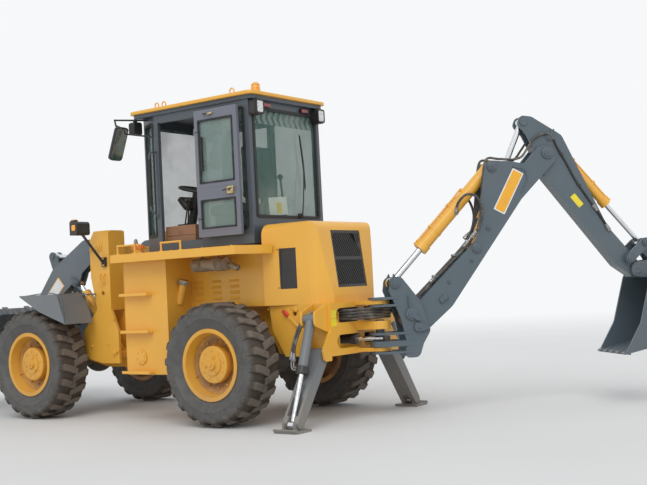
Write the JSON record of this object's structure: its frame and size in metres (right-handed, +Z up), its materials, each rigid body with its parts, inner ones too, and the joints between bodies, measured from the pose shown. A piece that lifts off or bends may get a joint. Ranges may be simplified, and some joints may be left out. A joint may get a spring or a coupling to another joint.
{
  "type": "backhoe loader",
  "caption": "Articulated backhoe loader with cab, loader bucket on lift arms in front, swinging hoe behind and folding stabilizer legs.",
  "frame": {"origin": "on the ground under the middle of the whole machine's footprint", "axes": "+X forward, +Y to the machine's left, +Z up"},
  "size_m": [8.2572, 3.3594, 3.282],
  "materials": {
    "yellow_paint": "semi-gloss",
    "grey_paint": "satin",
    "dark_paint": "satin",
    "black_paint": "satin",
    "rod_chrome": "polished",
    "window_glass": "polished",
    "tyre_rubber": "matte",
    "seat_cover": "matte",
    "lamp_plastic": "matte",
    "casting": "rough"
  },
  "bodies": {
    "rear": {"rear_frame": "yellow_paint", "driveline": "casting", "hood": "yellow_paint", "grilles": "black_paint", "deck": "yellow_paint", "tanks": "yellow_paint", "cab_frame": "dark_paint", "cab_roof": "yellow_paint", "cab_glass": "window_glass", "seat": "seat_cover", "controls": "lamp_plastic", "cab_lamps": "lamp_plastic"},
    "front": {"front_frame": "yellow_paint", "front_axle": "casting", "front_fenders": "grey_paint", "headlamps": "lamp_plastic"},
    "wheel_rear_left": {"rim_rear_left": "yellow_paint", "tyre_rear_left": "tyre_rubber"},
    "wheel_rear_right": {"rim_rear_right": "yellow_paint", "tyre_rear_right": "tyre_rubber"},
    "wheel_front_left": {"rim_front_left": "yellow_paint", "tyre_front_left": "tyre_rubber"},
    "wheel_front_right": {"rim_front_right": "yellow_paint", "tyre_front_right": "tyre_rubber"},
    "door": {"door": "dark_paint", "door_glass": "window_glass"},
    "lift_arms": {"lift_arms": "grey_paint"},
    "bellcrank": {"bellcrank": "grey_paint"},
    "tilt_link": {"tilt_link": "grey_paint"},
    "loader_bucket": {"loader_bucket": "dark_paint"},
    "tilt_barrel": {"tilt_barrel": "yellow_paint"},
    "tilt_rod": {"tilt_rod": "rod_chrome"},
    "lift_barrels": {"lift_barrels": "yellow_paint"},
    "lift_rods": {"lift_rods": "rod_chrome"},
    "steer_barrel_left": {"steer_barrel_left": "black_paint"},
    "steer_rod_left": {"steer_rod_left": "rod_chrome"},
    "steer_barrel_right": {"steer_barrel_right": "black_paint"},
    "steer_rod_right": {"steer_rod_right": "rod_chrome"},
    "swing_post": {"swing_post": "grey_paint"},
    "boom": {"boom": "grey_paint"},
    "dipper": {"dipper": "grey_paint"},
    "hoe_bucket": {"hoe_bucket": "grey_paint"},
    "rocker": {"rocker": "grey_paint"},
    "bucket_link": {"bucket_link": "grey_paint"},
    "boom_barrel": {"boom_barrel": "yellow_paint"},
    "dipper_barrel": {"dipper_barrel": "yellow_paint"},
    "scoop_barrel": {"scoop_barrel": "yellow_paint"},
    "swing_barrel_left": {"swing_barrel_left": "black_paint"},
    "swing_rod_left": {"swing_rod_left": "rod_chrome"},
    "swing_barrel_right": {"swing_barrel_right": "black_paint"},
    "swing_rod_right": {"swing_rod_right": "rod_chrome"},
    "leg_left": {"leg_left": "grey_paint"},
    "leg_right": {"leg_right": "grey_paint"},
    "leg_barrel_left": {"leg_barrel_left": "grey_paint"},
    "leg_rod_left": {"leg_rod_left": "rod_chrome"},
    "leg_barrel_right": {"leg_barrel_right": "grey_paint"},
    "leg_rod_right": {"leg_rod_right": "rod_chrome"},
    "boom_rod": {"boom_rod_piece": "rod_chrome"},
    "dipper_rod": {"dipper_rod_piece": "rod_chrome"},
    "scoop_rod": {"scoop_rod_piece": "rod_chrome"}
  },
  "joints": [
    {"name": "steer", "type": "hinge", "parent": "rear", "child": "front", "pos_m": [0.69, 0.58, 0.8], "axis": [0, 0, 1], "range_deg": [-35, 35]},
    {"name": "wheel_rear_left", "type": "hinge", "parent": "rear", "child": "wheel_rear_left", "pos_m": [-0.61, 1.405, 0.582], "axis": [0, 1, 0], "continuous": true},
    {"name": "wheel_rear_right", "type": "hinge", "parent": "rear", "child": "wheel_rear_right", "pos_m": [-0.61, -0.245, 0.582], "axis": [0, 1, 0], "continuous": true},
    {"name": "wheel_front_left", "type": "hinge", "parent": "front", "child": "wheel_front_left", "pos_m": [1.99, 1.405, 0.582], "axis": [0, 1, 0], "continuous": true},
    {"name": "wheel_front_right", "type": "hinge", "parent": "front", "child": "wheel_front_right", "pos_m": [1.99, -0.245, 0.582], "axis": [0, 1, 0], "continuous": true},
    {"name": "door", "type": "hinge", "parent": "rear", "child": "door", "pos_m": [-0.225, 1.188, 2.4], "axis": [0, 0, -1], "range_deg": [0, 180]},
    {"name": "arm_lift", "type": "hinge", "parent": "front", "child": "lift_arms", "pos_m": [1.29, 0.58, 1.8], "axis": [0, -1, 0], "range_deg": [-9.5, 72]},
    {"name": "bucket_dump", "type": "hinge", "parent": "lift_arms", "child": "loader_bucket", "pos_m": [3.25, 0.58, 0.6], "axis": [0, 1, 0], "range_deg": [0, 80]},
    {"name": "bellcrank_turn", "type": "hinge", "parent": "lift_arms", "child": "bellcrank", "pos_m": [2.5, 0.58, 1.42], "axis": [0, -1, 0], "range_deg": [-1, 48.93]},
    {"name": "tilt_link_turn", "type": "hinge", "parent": "bellcrank", "child": "tilt_link", "pos_m": [2.38, 0.58, 0.985], "axis": [0, -1, 0], "range_deg": [-31.42, 1]},
    {"name": "tilt_barrel_turn", "type": "hinge", "parent": "front", "child": "tilt_barrel", "pos_m": [1.32, 0.58, 1.7], "axis": [0, -1, 0], "range_deg": [-10.32, 71.67]},
    {"name": "tilt_rod_slide", "type": "slide", "parent": "tilt_barrel", "child": "tilt_rod", "axis": [0.9989, 0, 0.0469], "range_m": [-0.3098, 0.005]},
    {"name": "lift_barrels_turn", "type": "hinge", "parent": "front", "child": "lift_barrels", "pos_m": [1.11, 0.58, 0.66], "axis": [0, -1, 0], "range_deg": [-2.68, 13.72]},
    {"name": "lift_rods_slide", "type": "slide", "parent": "lift_barrels", "child": "lift_rods", "axis": [0.6311, 0, 0.7757], "range_m": [-0.0892, 0.6429]},
    {"name": "steer_barrel_left_turn", "type": "hinge", "parent": "rear", "child": "steer_barrel_left", "pos_m": [0.24, 0.89, 0.77], "axis": [0, 0, 1], "range_deg": [-15.09, 15.09]},
    {"name": "steer_rod_left_slide", "type": "slide", "parent": "steer_barrel_left", "child": "steer_rod_left", "axis": [1, 0, 0], "range_m": [-0.1919, 0.1919]},
    {"name": "steer_barrel_right_turn", "type": "hinge", "parent": "rear", "child": "steer_barrel_right", "pos_m": [0.24, 0.27, 0.77], "axis": [0, 0, 1], "range_deg": [-15.09, 15.09]},
    {"name": "steer_rod_right_slide", "type": "slide", "parent": "steer_barrel_right", "child": "steer_rod_right", "axis": [1, 0, 0], "range_m": [-0.1919, 0.1919]},
    {"name": "swing", "type": "hinge", "parent": "rear", "child": "swing_post", "pos_m": [-1.87, 0.58, 0.85], "axis": [0, 0, 1], "range_deg": [-135, 45]},
    {"name": "swing_barrel_left_turn", "type": "hinge", "parent": "rear", "child": "swing_barrel_left", "pos_m": [-1.31, 0.75, 0.75], "axis": [0, 0, 1], "range_deg": [-3.28, 1.76]},
    {"name": "swing_rod_left_slide", "type": "slide", "parent": "swing_barrel_left", "child": "swing_rod_left", "axis": [-0.9866, -0.1635, 0], "range_m": [-0.1954, 0.0685]},
    {"name": "swing_barrel_right_turn", "type": "hinge", "parent": "rear", "child": "swing_barrel_right", "pos_m": [-1.31, 0.41, 0.75], "axis": [0, 0, 1], "range_deg": [-3.17, 1.72]},
    {"name": "swing_rod_right_slide", "type": "slide", "parent": "swing_barrel_right", "child": "swing_rod_right", "axis": [-0.9914, 0.131, 0], "range_m": [-0.0641, 0.1824]},
    {"name": "boom_lift", "type": "hinge", "parent": "swing_post", "child": "boom", "pos_m": [-2.06092, 0.38908, 0.96], "axis": [-0.7071, 0.7071, 0], "range_deg": [-80, 20]},
    {"name": "boom_barrel_turn", "type": "hinge", "parent": "boom", "child": "boom_barrel", "pos_m": [-2.66903, -0.21903, 2.3], "axis": [-0.7071, 0.7071, 0], "range_deg": [-1.53, 3.11]},
    {"name": "boom_rod_slide", "type": "slide", "parent": "boom_barrel", "child": "boom_rod", "axis": [0.4877, 0.4877, -0.7241], "range_m": [-0.1031, 0.3975]},
    {"name": "dipper_crowd", "type": "hinge", "parent": "boom", "child": "dipper", "pos_m": [-3.06148, -0.61147, 2.412], "axis": [0.7071, -0.7071, 0], "range_deg": [-60, 35]},
    {"name": "dipper_barrel_turn", "type": "hinge", "parent": "boom", "child": "dipper_barrel", "pos_m": [-2.53468, -0.08468, 1.54], "axis": [0.7071, -0.7071, 0], "range_deg": [-3.4, 2.4]},
    {"name": "dipper_rod_slide", "type": "slide", "parent": "dipper_barrel", "child": "dipper_rod", "axis": [-0.2942, -0.2942, 0.9093], "range_m": [-0.3466, 0.2043]},
    {"name": "scoop_curl", "type": "hinge", "parent": "dipper", "child": "hoe_bucket", "pos_m": [-3.65191, -1.20191, 1.26], "axis": [0.7071, -0.7071, 0], "range_deg": [-60, 70]},
    {"name": "rocker_turn", "type": "hinge", "parent": "dipper", "child": "rocker", "pos_m": [-3.59534, -1.14534, 1.37], "axis": [0.7071, -0.7071, 0], "range_deg": [-56.49, 65.74]},
    {"name": "bucket_link_turn", "type": "hinge", "parent": "rocker", "child": "bucket_link", "pos_m": [-3.71555, -1.26555, 1.52], "axis": [0.7071, -0.7071, 0], "range_deg": [-32.77, 28.23]},
    {"name": "scoop_barrel_turn", "type": "hinge", "parent": "dipper", "child": "scoop_barrel", "pos_m": [-3.09329, -0.64329, 2.57], "axis": [0.7071, -0.7071, 0], "range_deg": [-1.41, 1.48]},
    {"name": "scoop_rod_slide", "type": "slide", "parent": "scoop_barrel", "child": "scoop_rod", "axis": [-0.4542, -0.4542, -0.7664], "range_m": [-0.1874, 0.2178]},
    {"name": "stabilizer_left", "type": "hinge", "parent": "rear", "child": "leg_left", "pos_m": [-1.55, 1.145, 0.64], "axis": [-1, 0, 0], "range_deg": [-65, 0]},
    {"name": "leg_barrel_left_turn", "type": "hinge", "parent": "rear", "child": "leg_barrel_left", "pos_m": [-1.55, 1.22, 0.97], "axis": [-1, 0, 0], "range_deg": [-52.94, 1]},
    {"name": "leg_rod_left_slide", "type": "slide", "parent": "leg_barrel_left", "child": "leg_rod_left", "axis": [0, 0.35, -0.9368], "range_m": [-0.3192, 0.005]},
    {"name": "stabilizer_right", "type": "hinge", "parent": "rear", "child": "leg_right", "pos_m": [-1.55, 0.015, 0.64], "axis": [1, 0, 0], "range_deg": [-65, 0]},
    {"name": "leg_barrel_right_turn", "type": "hinge", "parent": "rear", "child": "leg_barrel_right", "pos_m": [-1.55, -0.06, 0.97], "axis": [1, 0, 0], "range_deg": [-52.94, 1]},
    {"name": "leg_rod_right_slide", "type": "slide", "parent": "leg_barrel_right", "child": "leg_rod_right", "axis": [0, -0.35, -0.9368], "range_m": [-0.3192, 0.005]}
  ],
  "couplings": [
    {"joint": "bellcrank_turn", "follows": "bucket_dump", "ratio": 0.5991},
    {"joint": "tilt_link_turn", "follows": "bucket_dump", "ratio": -0.3803},
    {"joint": "tilt_barrel_turn", "follows": "arm_lift", "ratio": 0.9815},
    {"joint": "tilt_rod_slide", "follows": "bucket_dump", "m_per_rad": -0.2183},
    {"joint": "lift_barrels_turn", "follows": "arm_lift", "ratio": 0.1766},
    {"joint": "lift_rods_slide", "follows": "arm_lift", "m_per_rad": 0.5076},
    {"joint": "steer_barrel_left_turn", "follows": "steer", "ratio": 0.4026},
    {"joint": "steer_rod_left_slide", "follows": "steer", "m_per_rad": -0.306},
    {"joint": "steer_barrel_right_turn", "follows": "steer", "ratio": 0.4026},
    {"joint": "steer_rod_right_slide", "follows": "steer", "m_per_rad": 0.306},
    {"joint": "swing_barrel_left_turn", "follows": "swing", "ratio": 0.0169},
    {"joint": "swing_rod_left_slide", "follows": "swing", "m_per_rad": 0.0808},
    {"joint": "swing_barrel_right_turn", "follows": "swing", "ratio": 0.0161},
    {"joint": "swing_rod_right_slide", "follows": "swing", "m_per_rad": -0.0753},
    {"joint": "boom_barrel_turn", "follows": "boom_lift", "ratio": -0.0264},
    {"joint": "boom_rod_slide", "follows": "boom_lift", "m_per_rad": -0.2811},
    {"joint": "dipper_barrel_turn", "follows": "dipper_crowd", "ratio": 0.04},
    {"joint": "dipper_rod_slide", "follows": "dipper_crowd", "m_per_rad": 0.3262},
    {"joint": "rocker_turn", "follows": "scoop_curl", "ratio": 0.9248},
    {"joint": "bucket_link_turn", "follows": "scoop_curl", "ratio": -0.4539},
    {"joint": "scoop_barrel_turn", "follows": "scoop_curl", "ratio": 0.0069},
    {"joint": "scoop_rod_slide", "follows": "scoop_curl", "m_per_rad": 0.1742},
    {"joint": "leg_barrel_left_turn", "follows": "stabilizer_left", "ratio": 0.799},
    {"joint": "leg_rod_left_slide", "follows": "stabilizer_left", "m_per_rad": 0.277},
    {"joint": "leg_barrel_right_turn", "follows": "stabilizer_right", "ratio": 0.799},
    {"joint": "leg_rod_right_slide", "follows": "stabilizer_right", "m_per_rad": 0.277}
  ]
}
